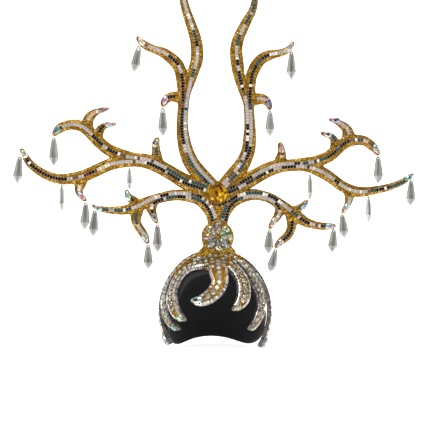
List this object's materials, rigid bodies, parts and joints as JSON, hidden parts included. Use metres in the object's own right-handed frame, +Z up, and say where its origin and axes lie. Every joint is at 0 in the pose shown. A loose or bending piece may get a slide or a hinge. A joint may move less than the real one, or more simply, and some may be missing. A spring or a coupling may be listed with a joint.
{
  "type": "carnival branch headdress",
  "caption": "Tall gold-glitter headdress of branching foam arms with mirror-tile strips, crystal drops, iridescent stones and a cap of curling jewelled tendrils.",
  "frame": {"origin": "top of the head inside the cap, where the headdress sits", "axes": "+Z up, the headdress's front faces -Y, +X is to the right seen from the front"},
  "size_m": [0.6401, 0.211, 0.5851],
  "materials": {
    "gold_foam": "gold glitter foam",
    "black_cloth": "black stretch cloth",
    "mirror_tile": "small mirror tiles",
    "silver_chain": "square stones in a chain",
    "clear_crystal": "clear cut crystal",
    "iridescent_stone": "iridescent cut stone",
    "amber_stone": "faceted gold stone",
    "gold_wire": "gilt wire"
  },
  "bodies": {
    "root": {"crown_plate": "gold_foam", "edge_bands_front": "silver_chain", "edge_bands_left": "silver_chain", "edge_bands_right": "silver_chain", "flower_knob": "gold_foam", "front_curl": "gold_foam", "hub_stone": "amber_stone", "jump_rings_left": "gold_wire", "jump_rings_right": "gold_wire", "left_brow_tendril": "gold_foam", "left_drop_01": "clear_crystal", "left_drop_02": "clear_crystal", "left_drop_03": "clear_crystal", "left_drop_04": "clear_crystal", "left_drop_05": "clear_crystal", "left_drop_06": "clear_crystal", "left_drop_07": "clear_crystal", "left_drop_08": "clear_crystal", "left_drop_09": "clear_crystal", "left_drop_10": "clear_crystal", "left_ear_tendril": "gold_foam", "left_lower_branch": "gold_foam", "left_tall_branch": "gold_foam", "left_temple_tendril": "gold_foam", "left_upper_branch": "gold_foam", "liner_cap": "black_cloth", "petal_stone_1": "iridescent_stone", "petal_stone_2": "iridescent_stone", "petal_stone_3": "iridescent_stone", "petal_stone_4": "iridescent_stone", "petal_stone_5": "iridescent_stone", "petal_stone_6": "iridescent_stone", "petal_stone_7": "iridescent_stone", "petal_stone_8": "iridescent_stone", "right_brow_tendril": "gold_foam", "right_drop_01": "clear_crystal", "right_drop_02": "clear_crystal", "right_drop_03": "clear_crystal", "right_drop_04": "clear_crystal", "right_drop_05": "clear_crystal", "right_drop_06": "clear_crystal", "right_drop_07": "clear_crystal", "right_drop_08": "clear_crystal", "right_drop_09": "clear_crystal", "right_drop_10": "clear_crystal", "right_ear_tendril": "gold_foam", "right_lower_branch": "gold_foam", "right_tall_branch": "gold_foam", "right_temple_tendril": "gold_foam", "right_upper_branch": "gold_foam", "stone_rows_front": "iridescent_stone", "stone_rows_left": "iridescent_stone", "stone_rows_right": "iridescent_stone", "tile_strips_left": "mirror_tile", "tile_strips_right": "mirror_tile", "tip_stones_left": "iridescent_stone", "tip_stones_right": "iridescent_stone"}
  },
  "joints": []
}
